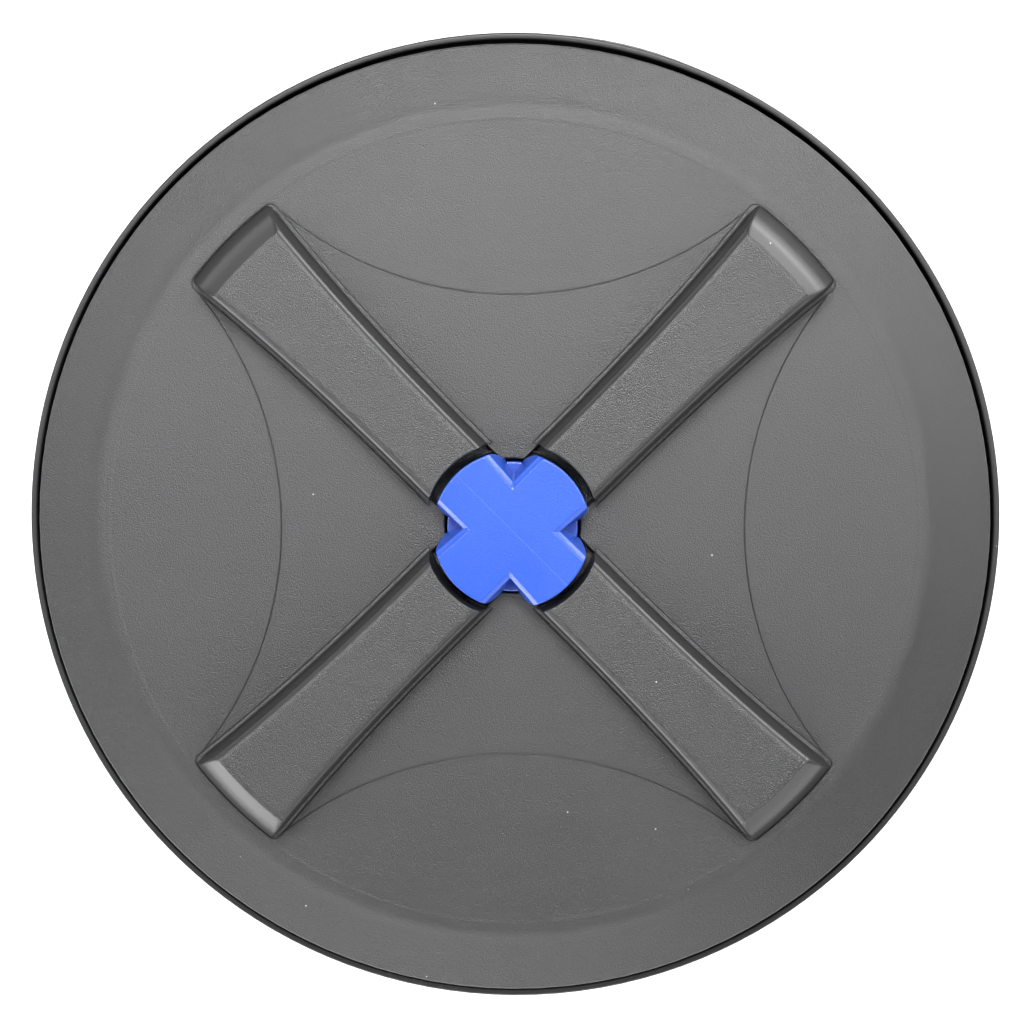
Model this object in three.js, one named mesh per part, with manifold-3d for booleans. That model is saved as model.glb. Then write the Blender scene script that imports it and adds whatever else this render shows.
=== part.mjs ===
// A 200 litre screw-lid chemical drum: a barrel with a threaded neck inside a collar, a domed lid
// turned by four raised ribs, and a blue vented twist cap on a threaded neck in the lid's centre.
// Millimetres, +Z up. The origin is the centre of the footprint on the floor.

import * as THREE from 'three';
import { mergeVertices } from 'three/addons/utils/BufferGeometryUtils.js';
import Module from 'manifold-3d';

const wasm = await Module();
wasm.setup();

// ---- driving dimensions, barrel ----
const drumRadius = 295;
const collarHeight = 880;
const bodyWall = 4.5;
const collarWall = 4;
const collarDepth = 34;
const barrelInset = 5;
const hoopCount = 2;
const hoopWidth = 34;
const hoopInset = 4;
const grabGrooveInset = 18;
const grabGrooveHeight = 12;
const chimeHeight = 36;
const chimeInset = 2;
const chimeGrooveInset = 11;
const footWidth = 36;
const footInset = 18;
const baseRise = 8;
const baseCorner = 14;
const chimeFlare = 24;
const hoopSlope = 14;
const hoopCrown = 4;
const hoopLift = 1;
const collarFlare = 16;
const grabFall = 7.2;
const gutterFillet = 3;

// ---- driving dimensions, lid ----
const lidClearance = 2.6;
const lidWall = 4.5;
const plateauAboveCollar = 34;
const edgeDrop = 26;
const skirtFloorGap = 4;
const shoulderWidth = 34;
const creaseDrop = 13;
const domeDrop = 9;
const sealSeatDrop = 20.3;
const gasketThickness = 3.1;
const neckWall = 5;
const neckWallGap = 12;
const assemblyGap = 0.3;

// ---- driving dimensions, lid thread ----
const lidThreadStarts = 4;
const lidThreadLead = 48;
const lidThreadWidth = 4;
const lidThreadHeight = 24;
const lidThreadCrestGap = 4;
const lidThreadRoot = 2.5;
const lidThreadEndGap = 2;

// ---- driving dimensions, lid ribs ----
const ribCount = 4;
const ribHeight = 23;
const ribFall = 4;
const ribInnerClearance = 3.6;
const ribEndClearance = 12;
const ribInnerHalfWidth = 26.8;
const ribOuterHalfWidth = 35.6;
const ribFlare = 2.4;
const ribSideDraft = 9;
const ribOuterDraft = 19;
const ribInnerDraft = 1.5;
const ribShell = 4.5;

// ---- driving dimensions, centre closure ----
const boreRadius = 22;
const tubeWall = 6;
const capThreadStarts = 2;
const capThreadLead = 12;
const capThreadWidth = 1.8;
const capThreadHeight = 9.2;
const capThreadDepth = 2.6;
const capThreadRoot = 1;
const threadRadialGap = 1.4;
const capThreadWallGap = 2;
const capSkirtWall = 3.6;
const capFlangeOverhang = 3;
const capFlangeThickness = 4;
const capPlateDrop = 1.5;
const capSkirtFloorGap = 1.7;
const capThreadEndGap = 1.2;
const wellClearance = 1.4;
const wellDepth = 26;
const capTopHeight = 24;
const gripOverhang = 8;
const gripArmWidth = 40.8;
const gripBevel = 3;
const gripRestTurn = -1.7;
const gripSunk = 0.4;
const capSealThickness = 2.2;
const neckFlangeThickness = 3.5;
const neckGasketThickness = 1.7;
const neckTail = 14;
const nutThickness = 10;
const nutRim = 10;
const ventChamberRadius = 16;
const ventStepRadius = 12;
const ventTopWall = 6;
const membraneThickness = 1;
const retainerHeight = 4.2;
const retainerBoreRadius = 11;
const ventHoleRadius = 1.25;
const ventHoleCount = 4;

// ---- values worked out from the driving dimensions ----
const plateauZ = collarHeight + plateauAboveCollar;
const lidRadius = drumRadius - collarWall - lidClearance;
const skirtInner = lidRadius - lidWall;
const neckOuter = skirtInner - neckWallGap;
const neckInner = neckOuter - neckWall;
const gutterZ = collarHeight - collarDepth;
const skirtBottomZ = gutterZ + skirtFloorGap;
const sealSeatZ = plateauZ - sealSeatDrop;
const neckTopZ = sealSeatZ - gasketThickness - 2 * assemblyGap;
const creaseRadius = lidRadius - shoulderWidth;
const ribOuterRadius = creaseRadius - ribEndClearance;
const tubeRadius = boreRadius + tubeWall;
const capSkirtInner = tubeRadius + capThreadDepth + capThreadWallGap;
const capSkirtOuter = capSkirtInner + capSkirtWall;
const capFlangeRadius = capSkirtOuter + capFlangeOverhang;
const gripRadius = capFlangeRadius + gripOverhang;
const wellRadius = capFlangeRadius + wellClearance;
const ribInnerRadius = gripRadius + ribInnerClearance;
const wellFloorZ = plateauZ - wellDepth;
const capPlateZ = plateauZ - capPlateDrop;
const tubeTopZ = capPlateZ - capSealThickness - 2 * assemblyGap;
const nutRadius = tubeRadius + nutRim;

const roundSegments = 40;
const smallSegments = 32;
const threadStep = Math.PI / 16;

const black = { color: 0x26282a, roughness: 0.5, metalness: 0 };
const blue = { color: 0x2f62e6, roughness: 0.4, metalness: 0 };
const rubber = { color: 0x1a1a1a, roughness: 0.85, metalness: 0 };
const white = { color: 0xe8e8e4, roughness: 0.6, metalness: 0 };

// ---- helpers ----

// A closed geometry as a manifold solid: shared vertices merged, collapsed triangles dropped.
function toSolid(geometry) {
  const plain = geometry.clone();
  plain.deleteAttribute('normal');
  plain.deleteAttribute('uv');
  const merged = mergeVertices(plain, 1e-3);
  const index = merged.index.array;
  const kept = [];
  for (let i = 0; i < index.length; i += 3) {
    const [a, b, c] = [index[i], index[i + 1], index[i + 2]];
    if (a !== b && b !== c && c !== a) {
      kept.push(a, b, c);
    }
  }
  return new wasm.Manifold(new wasm.Mesh({
    numProp: 3,
    vertProperties: new Float32Array(merged.attributes.position.array),
    triVerts: new Uint32Array(kept),
  }));
}

// A named mesh of a solid, in its own material.
function toMesh(name, solid, look) {
  const data = solid.getMesh();
  const geometry = new THREE.BufferGeometry();
  geometry.setAttribute('position', new THREE.BufferAttribute(new Float32Array(data.vertProperties), 3));
  geometry.setIndex(new THREE.BufferAttribute(new Uint32Array(data.triVerts), 1));
  geometry.computeVertexNormals();
  const mesh = new THREE.Mesh(geometry, new THREE.MeshStandardMaterial(look));
  mesh.name = name;
  return mesh;
}

// A solid of revolution about Z. The profile is [radius, height] pairs, outer side running upwards;
// it starts and ends on the axis, or else it closes on itself.
function revolve(profile, segments) {
  const points = profile.map(([r, z]) => new THREE.Vector2(r, z));
  if (profile[0][0] > 0) {
    points.push(points[0].clone());
  }
  return toSolid(new THREE.LatheGeometry(points, segments).rotateX(Math.PI / 2));
}

// A flat ring between two radii and two heights.
function ring(inner, outer, bottom, top, segments) {
  return revolve([[outer, bottom], [outer, top], [inner, top], [inner, bottom]], segments);
}

// A round bar along Z between two heights.
function disc(radius, bottom, top, segments) {
  return revolve([[0, bottom], [radius, bottom], [radius, top], [0, top]], segments);
}

// One helical thread ridge. A tapered section is extruded along its sweep and then wrapped round Z,
// rising by one lead a turn. root lies inside the wall that carries the ridge.
function threadRidge({ root, crest, width, lead, startAngle, bottom, height }) {
  const sweep = (height / lead) * 2 * Math.PI;
  const half = width / 2;
  const taper = 0.7;
  const section = new THREE.Shape([
    new THREE.Vector2(root, -half),
    new THREE.Vector2(crest, -half * taper),
    new THREE.Vector2(crest, half * taper),
    new THREE.Vector2(root, half),
  ]);
  const steps = Math.ceil(sweep / threadStep);
  const bar = new THREE.ExtrudeGeometry(section, { depth: sweep, steps, bevelEnabled: false });
  const position = bar.attributes.position;
  for (let i = 0; i < position.count; i++) {
    const turned = sweep - position.getZ(i);
    const angle = startAngle + turned;
    const radius = position.getX(i);
    const z = bottom + half + position.getY(i) + (lead * turned) / (2 * Math.PI);
    position.setXYZ(i, radius * Math.cos(angle), radius * Math.sin(angle), z);
  }
  return toSolid(bar);
}

// All the starts of one thread, evenly spaced. phase shifts a thread by part of the gap between
// two starts, so that a thread and its mate lie between each other.
function thread(starts, phase, ridge) {
  const ridges = [];
  for (let i = 0; i < starts; i++) {
    const startAngle = ((i + phase) * 2 * Math.PI) / starts;
    ridges.push(threadRidge({ ...ridge, startAngle }));
  }
  return wasm.Manifold.union(ridges);
}

// ---- barrel ----

// Heights along the straight wall where the rolling hoops are centred.
function hoopCentres(bottom, top) {
  const centres = [];
  for (let i = 1; i <= hoopCount; i++) {
    centres.push(bottom + ((top - bottom) * i) / (hoopCount + 1));
  }
  return centres;
}

// Heights of the groove under the collar that a drum lifter grips.
const collarUnderZ = gutterZ - bodyWall;
const grabTopZ = collarUnderZ - grabFall;
const grabBottomZ = grabTopZ - grabGrooveHeight;
const footOuter = drumRadius - chimeInset - footInset;
const footInner = footOuter - footWidth;

// The outside of the barrel, from the foot up to the collar's rounded top.
function barrelOutside() {
  const barrel = drumRadius - barrelInset;
  const chime = drumRadius - chimeInset;
  const grab = drumRadius - grabGrooveInset;
  const chimeGroove = drumRadius - chimeGrooveInset;
  const crest = drumRadius - hoopLift;
  const wallBottom = chimeHeight + chimeFlare;
  const wallTop = grabBottomZ - collarFlare;
  const points = [
    [footOuter, 0],
    [chime - baseCorner * 0.3, baseCorner * 0.4],
    [chime, baseCorner],
    [chime, chimeHeight],
    [chimeGroove, chimeHeight + chimeFlare / 3],
    [chimeGroove, chimeHeight + (chimeFlare * 2) / 3],
    [barrel, wallBottom],
  ];
  for (const z of hoopCentres(wallBottom, wallTop)) {
    const half = hoopWidth / 2;
    points.push([barrel - hoopInset, z - half - hoopSlope + hoopCrown]);
    points.push([crest, z - half + hoopCrown]);
    points.push([crest, z + half - hoopCrown]);
    points.push([barrel - hoopInset, z + half + hoopSlope - hoopCrown]);
  }
  points.push([barrel, wallTop]);
  points.push([grab, grabBottomZ]);
  points.push([grab, grabTopZ]);
  points.push([drumRadius, collarUnderZ + 2]);
  points.push([drumRadius, collarHeight - collarWall / 2]);
  points.push([drumRadius - collarWall * 0.3, collarHeight]);
  return points;
}

// The collar's inner wall, the gutter and the neck, over the rim and down the inside to the base.
function barrelInside() {
  const collarInner = drumRadius - collarWall;
  const barrel = drumRadius - barrelInset - bodyWall - hoopInset;
  const chime = drumRadius - chimeInset - bodyWall - baseCorner * 0.35;
  const grab = drumRadius - grabGrooveInset - bodyWall;
  const chimeGroove = drumRadius - chimeGrooveInset - bodyWall;
  return [
    [drumRadius - collarWall * 0.7, collarHeight],
    [collarInner, collarHeight - collarWall / 2],
    [collarInner, gutterZ + gutterFillet],
    [collarInner - gutterFillet, gutterZ],
    [neckOuter, gutterZ],
    [neckOuter, neckTopZ],
    [neckInner, neckTopZ],
    [neckInner, collarUnderZ - bodyWall],
    [grab, grabTopZ - grabGrooveHeight / 2],
    [grab, grabBottomZ],
    [barrel, grabBottomZ - collarFlare * 1.5],
    [barrel, chimeHeight + chimeFlare + bodyWall],
    [chimeGroove, chimeHeight + chimeFlare / 2],
    [chime, chimeHeight - bodyWall],
    [chime, baseCorner + 2 * bodyWall],
    [footOuter, bodyWall],
    [footInner, bodyWall],
    [footInner - baseRise, baseRise + bodyWall],
    [0, baseRise + bodyWall],
    [0, baseRise],
    [footInner - baseRise * 0.7, baseRise],
    [footInner + 2, 0],
  ];
}

// The barrel starts and ends on the axis under the base: outside up, inside down, base outwards.
function drumBody() {
  const inside = barrelInside();
  const underBase = inside.slice(-3);
  const rest = inside.slice(0, -3);
  const shell = revolve([...underBase, ...barrelOutside(), ...rest], roundSegments);
  const neckThread = thread(lidThreadStarts, 0, {
    root: neckOuter - lidThreadRoot,
    crest: skirtInner - lidThreadCrestGap,
    width: lidThreadWidth,
    lead: lidThreadLead,
    bottom: skirtBottomZ + lidThreadEndGap,
    height: lidThreadHeight,
  });
  return toMesh('drum_body', shell.add(neckThread), black);
}

// ---- lid ----

// Height of the lid's top surface inside the crease: a shallow dome.
function domeZ(radius) {
  return plateauZ - domeDrop * (radius / ribOuterRadius) ** 2;
}

// Outside of the lid from the skirt's bottom, over the shoulder and the crease, to the cap well.
function lidTop() {
  const wellPoints = [0.25, 0.55, 0.8, 1].map((share) => {
    const r = wellRadius + (ribOuterRadius - wellRadius) * share;
    return [r, domeZ(r)];
  });
  return [
    [lidRadius, skirtBottomZ],
    [lidRadius, plateauZ - edgeDrop - 2],
    [lidRadius - 1.5, plateauZ - edgeDrop + 3],
    [lidRadius - 6, plateauZ - edgeDrop + 5.5],
    [lidRadius - 16, plateauZ - creaseDrop - 3.6],
    [creaseRadius + 5, plateauZ - creaseDrop + 0.9],
    [creaseRadius, plateauZ - creaseDrop],
    ...wellPoints.reverse(),
    [wellRadius, domeZ(wellRadius)],
  ];
}

// Inside of the lid: cap well with its floor, the dome's underside, the seal seat and the skirt.
function lidUnderside() {
  const floorBottom = wellFloorZ - lidWall;
  const wellOutside = wellRadius + lidWall;
  const seatInner = neckInner - 4;
  const seatOuter = neckOuter + 4;
  return [
    [wellRadius, wellFloorZ],
    [tubeRadius + assemblyGap, wellFloorZ],
    [tubeRadius + assemblyGap, floorBottom],
    [wellOutside, floorBottom],
    [wellOutside, domeZ(wellOutside) - lidWall],
    [ribOuterRadius * 0.6, domeZ(ribOuterRadius * 0.6) - lidWall],
    [ribOuterRadius, domeZ(ribOuterRadius) - lidWall],
    [seatInner, sealSeatZ],
    [seatOuter, sealSeatZ],
    [skirtInner, plateauZ - edgeDrop],
    [skirtInner, skirtBottomZ],
  ];
}

// Half the width of a rib's foot at a distance from the lid's centre: parallel, then flaring out.
function ribHalfWidth(radius) {
  const along = (radius - ribInnerRadius) / (ribOuterRadius - ribInnerRadius);
  return ribInnerHalfWidth + (ribOuterHalfWidth - ribInnerHalfWidth) * Math.max(along, 0) ** ribFlare;
}

// One rib as a warped block. u runs out along the rib, v across it, and the levels go up from below
// the lid's surface; each level is drawn in by its share of the draft. shell shrinks it all round.
function ribSolid(shell, footDrop) {
  const levels = [
    { rise: -footDrop, draft: 0 },
    { rise: 0, draft: 0 },
    { rise: 0.74, draft: 0.52 },
    { rise: 1, draft: 1 },
  ];
  const lengthSteps = 6;
  const block = new THREE.BoxGeometry(1, 2, 1, lengthSteps, 2, levels.length - 1);
  const position = block.attributes.position;
  for (let i = 0; i < position.count; i++) {
    const u = position.getX(i) + 0.5;
    const v = position.getY(i);
    const level = levels[Math.round((position.getZ(i) + 0.5) * (levels.length - 1))];
    const inner = ribInnerRadius + shell + ribInnerDraft * level.draft;
    const outer = ribOuterRadius - shell - ribOuterDraft * level.draft;
    const radius = inner + (outer - inner) * u;
    const across = v * (ribHalfWidth(radius) - shell - ribSideDraft * level.draft);
    const top = plateauZ + ribHeight - ribFall * (radius / ribOuterRadius) ** 2 - shell;
    const foot = domeZ(radius);
    const z = level.rise < 0 ? foot + level.rise : foot + (top - foot) * level.rise;
    position.setXYZ(i, Math.sqrt(radius ** 2 - across ** 2), across, z);
  }
  return toSolid(block);
}

// The same rib at each of the four places between the axes.
function ribs(shell, footDrop) {
  const all = [];
  for (let i = 0; i < ribCount; i++) {
    all.push(ribSolid(shell, footDrop).rotate([0, 0, ((i + 0.5) * 360) / ribCount]));
  }
  return wasm.Manifold.union(all);
}

function lid() {
  const plate = revolve([...lidTop(), ...lidUnderside()], roundSegments);
  const skirtThread = thread(lidThreadStarts, 0.5, {
    root: skirtInner + lidThreadRoot,
    crest: neckOuter + lidThreadCrestGap,
    width: lidThreadWidth,
    lead: lidThreadLead,
    bottom: skirtBottomZ + lidThreadEndGap,
    height: lidThreadHeight,
  });
  const solid = plate.add(ribs(0, 3)).subtract(ribs(ribShell, lidWall + 8)).add(skirtThread);
  return toMesh('lid', solid, black);
}

function lidGasket() {
  const bottom = neckTopZ + assemblyGap;
  const solid = ring(neckInner - 1.5, neckOuter + 1.5, bottom, bottom + gasketThickness, roundSegments);
  return toMesh('lid_gasket', solid, rubber);
}

// ---- centre closure ----

const neckGasketBottom = wellFloorZ + assemblyGap;
const neckFlangeBottom = neckGasketBottom + neckGasketThickness + assemblyGap;
const neckFlangeTop = neckFlangeBottom + neckFlangeThickness;
const neckTailBottom = wellFloorZ - lidWall - neckTail;
const capSkirtBottom = neckFlangeTop + capSkirtFloorGap;
const capThreadBottom = capSkirtBottom + capThreadEndGap;

// The threaded tube that stands in the well, with a flange above the well's floor.
function capNeck() {
  const flangeRadius = nutRadius - 1;
  const tube = revolve([
    [boreRadius, neckTailBottom],
    [tubeRadius, neckTailBottom],
    [tubeRadius, neckFlangeBottom],
    [flangeRadius, neckFlangeBottom],
    [flangeRadius, neckFlangeTop],
    [tubeRadius, neckFlangeTop],
    [tubeRadius, tubeTopZ],
    [boreRadius, tubeTopZ],
  ], smallSegments);
  const outerThread = thread(capThreadStarts, 0, {
    root: tubeRadius - capThreadRoot,
    crest: tubeRadius + capThreadDepth,
    width: capThreadWidth,
    lead: capThreadLead,
    bottom: capThreadBottom,
    height: capThreadHeight,
  });
  return toMesh('cap_neck', tube.add(outerThread), black);
}

function neckGasket() {
  const top = neckGasketBottom + neckGasketThickness;
  const solid = ring(tubeRadius + assemblyGap, nutRadius - 1, neckGasketBottom, top, smallSegments);
  return toMesh('neck_gasket', solid, rubber);
}

// The nut that pulls the neck's flange down from under the lid, with eight flats.
function neckLocknut() {
  const top = wellFloorZ - lidWall - assemblyGap;
  const blank = disc(nutRadius / Math.cos(Math.PI / 8), top - nutThickness, top, 8);
  const bore = disc(tubeRadius + assemblyGap, top - nutThickness - 1, top + 1, smallSegments);
  return toMesh('neck_locknut', blank.subtract(bore), black);
}

// The grip's outline: two bars crossed at right angles, their ends on one circle.
function gripOutline() {
  const outline = new THREE.Shape();
  const half = gripArmWidth / 2;
  const endAngle = Math.asin(half / gripRadius);
  for (let i = 0; i < 4; i++) {
    const arm = ((i + 0.5) * Math.PI) / 2;
    const notch = arm - Math.PI / 4;
    const apex = half * Math.SQRT2;
    if (i === 0) {
      outline.moveTo(apex * Math.cos(notch), apex * Math.sin(notch));
    } else {
      outline.lineTo(apex * Math.cos(notch), apex * Math.sin(notch));
    }
    outline.lineTo(gripRadius * Math.cos(arm - endAngle), gripRadius * Math.sin(arm - endAngle));
    outline.absarc(0, 0, gripRadius, arm - endAngle, arm + endAngle, false);
  }
  return outline;
}

// The grip stands on the flange, sunk into it a little, with a bevel round its top and bottom edge.
// Screwed home, its arms come to rest a little past the ribs' directions.
function capGrip() {
  const bottom = capPlateZ + capFlangeThickness - gripSunk;
  const geometry = new THREE.ExtrudeGeometry(gripOutline(), {
    depth: plateauZ + capTopHeight - bottom - 2 * gripBevel,
    curveSegments: 6,
    bevelEnabled: true,
    bevelThickness: gripBevel,
    bevelSize: gripBevel,
    bevelOffset: -gripBevel,
    bevelSegments: 1,
  });
  return toSolid(geometry.translate(0, 0, bottom + gripBevel)).rotate([0, 0, gripRestTurn]);
}

const membraneBottom = capPlateZ + retainerHeight + 2 * assemblyGap;
const ventStepZ = membraneBottom + membraneThickness + assemblyGap;
const ventTopZ = plateauZ + capTopHeight - ventTopWall;

function twistCap() {
  const shell = revolve([
    [0, capPlateZ],
    [capSkirtInner, capPlateZ],
    [capSkirtInner, capSkirtBottom],
    [capSkirtOuter, capSkirtBottom],
    [capSkirtOuter, capPlateZ - 1],
    [capFlangeRadius, capPlateZ],
    [capFlangeRadius, capPlateZ + capFlangeThickness],
    [0, capPlateZ + capFlangeThickness],
  ], smallSegments);
  const innerThread = thread(capThreadStarts, 0.5, {
    root: capSkirtInner + capThreadRoot,
    crest: tubeRadius + threadRadialGap,
    width: capThreadWidth,
    lead: capThreadLead,
    bottom: capThreadBottom,
    height: capThreadHeight,
  });
  const seat = disc(ventChamberRadius, capPlateZ - 5, ventStepZ, smallSegments);
  const chamber = disc(ventStepRadius, ventStepZ - 1, ventTopZ, smallSegments);
  let solid = shell.add(capGrip()).add(innerThread).subtract(seat).subtract(chamber);
  for (let i = 0; i < ventHoleCount; i++) {
    const hole = new THREE.CylinderGeometry(ventHoleRadius, ventHoleRadius, gripRadius, 6)
      .rotateZ(Math.PI / 2)
      .translate(gripRadius / 2, 0, ventStepZ + 2 * ventHoleRadius);
    solid = solid.subtract(toSolid(hole).rotate([0, 0, (360 * i) / ventHoleCount]));
  }
  return toMesh('twist_cap', solid, blue);
}

function capGasket() {
  const bottom = tubeTopZ + assemblyGap;
  const solid = ring(boreRadius + 0.5, tubeRadius + 1, bottom, bottom + capSealThickness, smallSegments);
  return toMesh('cap_gasket', solid, rubber);
}

function ventMembrane() {
  const radius = ventChamberRadius - assemblyGap;
  const solid = disc(radius, membraneBottom, membraneBottom + membraneThickness, smallSegments);
  return toMesh('vent_membrane', solid, white);
}

function ventRetainer() {
  const bottom = capPlateZ + assemblyGap;
  const radius = ventChamberRadius - assemblyGap;
  const solid = ring(retainerBoreRadius, radius, bottom, bottom + retainerHeight, smallSegments);
  return toMesh('vent_retainer', solid, blue);
}

const drum = new THREE.Group();
drum.add(drumBody());
drum.add(lid(), lidGasket());
drum.add(capNeck(), neckGasket(), neckLocknut());
drum.add(twistCap(), capGasket(), ventMembrane(), ventRetainer());

export default drum;
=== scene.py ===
"""A screw-lid chemical drum drawn as an add-on: barrel, ribbed lid, twist cap and the seals between them.

Every new piece is a surface worked out with numpy: a profile carried round the drum's axis, or a grid of
points with a height for each. Lengths are metres, in the frame's own axes: +Z up, the origin on the floor
under the drum's centre.
"""

import math

import bmesh
import bpy
import numpy as np
from mathutils import Matrix, Vector


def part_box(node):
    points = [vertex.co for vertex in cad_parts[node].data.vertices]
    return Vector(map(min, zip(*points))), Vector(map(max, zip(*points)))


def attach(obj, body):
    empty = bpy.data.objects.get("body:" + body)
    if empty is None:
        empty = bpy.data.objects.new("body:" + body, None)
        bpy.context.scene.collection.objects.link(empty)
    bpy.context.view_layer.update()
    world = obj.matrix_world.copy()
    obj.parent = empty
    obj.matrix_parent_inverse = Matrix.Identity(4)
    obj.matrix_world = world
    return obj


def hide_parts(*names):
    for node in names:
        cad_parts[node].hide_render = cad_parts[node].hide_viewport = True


bl_info = {
    "name": "Screw-lid Drum",
    "version": (1, 0, 0),
    "blender": (4, 5, 0),
    "location": "3D View > Sidebar > Drum",
    "description": "Builds a plastic screw-lid drum, its vented twist cap and their finishes round a frame",
    "category": "Object",
}

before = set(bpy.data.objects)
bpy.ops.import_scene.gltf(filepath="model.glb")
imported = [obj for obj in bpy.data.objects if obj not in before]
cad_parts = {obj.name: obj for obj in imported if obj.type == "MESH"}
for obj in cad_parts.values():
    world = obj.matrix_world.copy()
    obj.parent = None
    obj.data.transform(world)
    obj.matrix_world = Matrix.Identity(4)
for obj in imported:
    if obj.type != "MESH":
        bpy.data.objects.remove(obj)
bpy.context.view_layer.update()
BARREL_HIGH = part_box("drum_body")[1]
LID_LOW, LID_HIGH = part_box("lid")
CAP_LOW, CAP_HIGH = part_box("twist_cap")
NECK_LOW, NECK_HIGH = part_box("cap_neck")
NUT_LOW, NUT_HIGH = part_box("neck_locknut")

MM = 0.001
CLEARANCE = 0.3 * MM
LID_THREAD_STARTS = 4
LID_THREAD = {"width": 4 * MM, "lead": 48 * MM, "height": 24 * MM}
CAP_THREAD_STARTS = 2
CAP_THREAD = {"width": 1.8 * MM, "lead": 12 * MM, "height": 9.2 * MM}
THREAD_CLEARANCE = 4 * MM
NECK_GAP = 12 * MM
GRAB_DROP = 7.2 * MM
SEAM_HEIGHT = 0.3 * MM
VENT_TURRET = 20 * MM
NECK_TUBE = 28 * MM


# ---- properties ----

def length(name, description, default):
    """A length in metres, shown to a tenth of a millimetre."""
    return bpy.props.FloatProperty(
        name=name, description=description, default=default, unit="LENGTH", subtype="DISTANCE", precision=4
    )


def number(name, description, default):
    """A plain number."""
    return bpy.props.FloatProperty(name=name, description=description, default=default, precision=3)


def share(name, description, default):
    """A number from 0 to 1."""
    return bpy.props.FloatProperty(
        name=name, description=description, default=default, min=0, max=1, subtype="FACTOR"
    )


def angle(name, description, degrees):
    """An angle, kept in radians and shown in degrees."""
    return bpy.props.FloatProperty(
        name=name, description=description, default=math.radians(degrees), unit="ROTATION", subtype="ANGLE"
    )


def colour(name, description, default):
    """A linear RGB colour."""
    return bpy.props.FloatVectorProperty(
        name=name, description=description, default=default, size=3, min=0, max=1, subtype="COLOR"
    )


class DRUM_PG_barrel(bpy.types.PropertyGroup):
    """Sizes of the barrel."""

    radius: length("Radius", "Outside of the collar and the rolling hoops", BARREL_HIGH.x)
    collar_top: length("Collar top", "Height of the collar's rounded top", 0.880)
    collar_wall: length("Collar wall", "Thickness of the collar round the lid", 0.004)
    collar_depth: length("Collar depth", "Depth of the gutter between collar and neck", 0.034)
    wall: length("Wall", "Thickness of the barrel's wall", 0.0045)
    neck_top: length("Neck top", "Height of the neck's rim", BARREL_HIGH.z)
    neck_wall: length("Neck wall", "Thickness of the neck", 0.005)
    neck_gap: length("Neck gap", "Space between the neck and the lid's skirt", NECK_GAP)
    inset: length("Inset", "How far the plain wall lies inside the hoops", 0.005)
    hoop_width: length("Hoop width", "Width of each rolling hoop", 0.034)
    hoops: bpy.props.IntProperty(name="Hoops", description="Number of rolling hoops", default=2)
    grab_inset: length("Grab groove", "Depth of the groove under the collar", 0.018)
    grab_height: length("Grab height", "Height of the groove under the collar", 0.012)
    chime_height: length("Chime height", "Height of the base chime", 0.036)
    chime_groove: length("Chime groove", "Depth of the groove above the base chime", 0.011)
    foot_width: length("Foot width", "Width of the flat ring that the drum stands on", 0.036)
    base_rise: length("Base rise", "How far the base's middle is raised", 0.008)


class DRUM_PG_lid(bpy.types.PropertyGroup):
    """Sizes of the lid and its ribs."""

    radius: length("Radius", "Outside of the lid's skirt", LID_HIGH.x)
    bottom: length("Skirt bottom", "Height of the skirt's lower edge", LID_LOW.z)
    plateau: length("Plateau", "Height of the lid's centre", 0.914)
    wall: length("Wall", "Thickness of the lid", 0.0045)
    dome_drop: length("Dome drop", "How far the dome falls from the centre to the ribs' ends", 0.009)
    crease_in: length("Crease", "Distance from the lid's edge to the crease", 0.034)
    crease_run: length("Crease run", "Width of the band where the crease falls", 0.008)
    crease_fall: length("Crease fall", "How far the lid falls across the crease", 0.0032)
    edge_drop: length("Edge drop", "How far the lid's edge lies below the centre", 0.0235)
    well_radius: length("Well radius", "Radius of the well for the cap", 0.0406)
    well_depth: length("Well depth", "Depth of the well for the cap", 0.026)
    rib_top: length("Rib height", "Height of the ribs above the lid's centre", 0.023)
    rib_fall: length("Rib fall", "How far a rib's top falls from the centre to its outer end", 0.004)
    rib_inner: length("Rib start", "Radius of the ribs' inner ends", 0.0508)
    rib_outer: length("Rib end", "Radius of the ribs' outer ends", 0.2424)
    rib_half_inner: length("Half width in", "Half the width of a rib's foot near the centre", 0.0268)
    rib_half_outer: length("Half width out", "Half the width of a rib's foot at its outer end", 0.0356)
    rib_flare: number("Flare", "How late the rib's sides flare out", 2.4)
    side_run: length("Side run", "How far a rib's side wall leans in over its height", 0.0028)
    side_crown: length("Side crown", "Radius along a rib's upper edges", 0.006)
    side_foot: length("Side foot", "Radius of the fillet at the foot of a rib's sides", 0.0026)
    end_run: length("End run", "How far a rib's end wall leans in below its shoulder", 0.0070)
    end_crown: length("End crown", "Radius between a rib's end wall and its shoulder", 0.024)
    end_shoulder: length("End shoulder", "Width of the sloping shoulder above a rib's end wall", 0.0105)
    shoulder_fall: length("Shoulder fall", "Drop of that shoulder", 0.0082)
    corner: length("Corner", "Radius of a rib's outer corners, seen from above", 0.005)
    pocket: length("Pocket", "Depth of the pocket under the cap's lobes, between the well and a rib", 0.009)
    line_apex: length("Line apex", "Distance from the centre to the nearest point of a moulding line", 0.1394)
    line_width: length("Line width", "Width of the moulding lines", 0.0009)
    line_height: length("Line height", "Height of the moulding lines", 0.0006)


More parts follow.
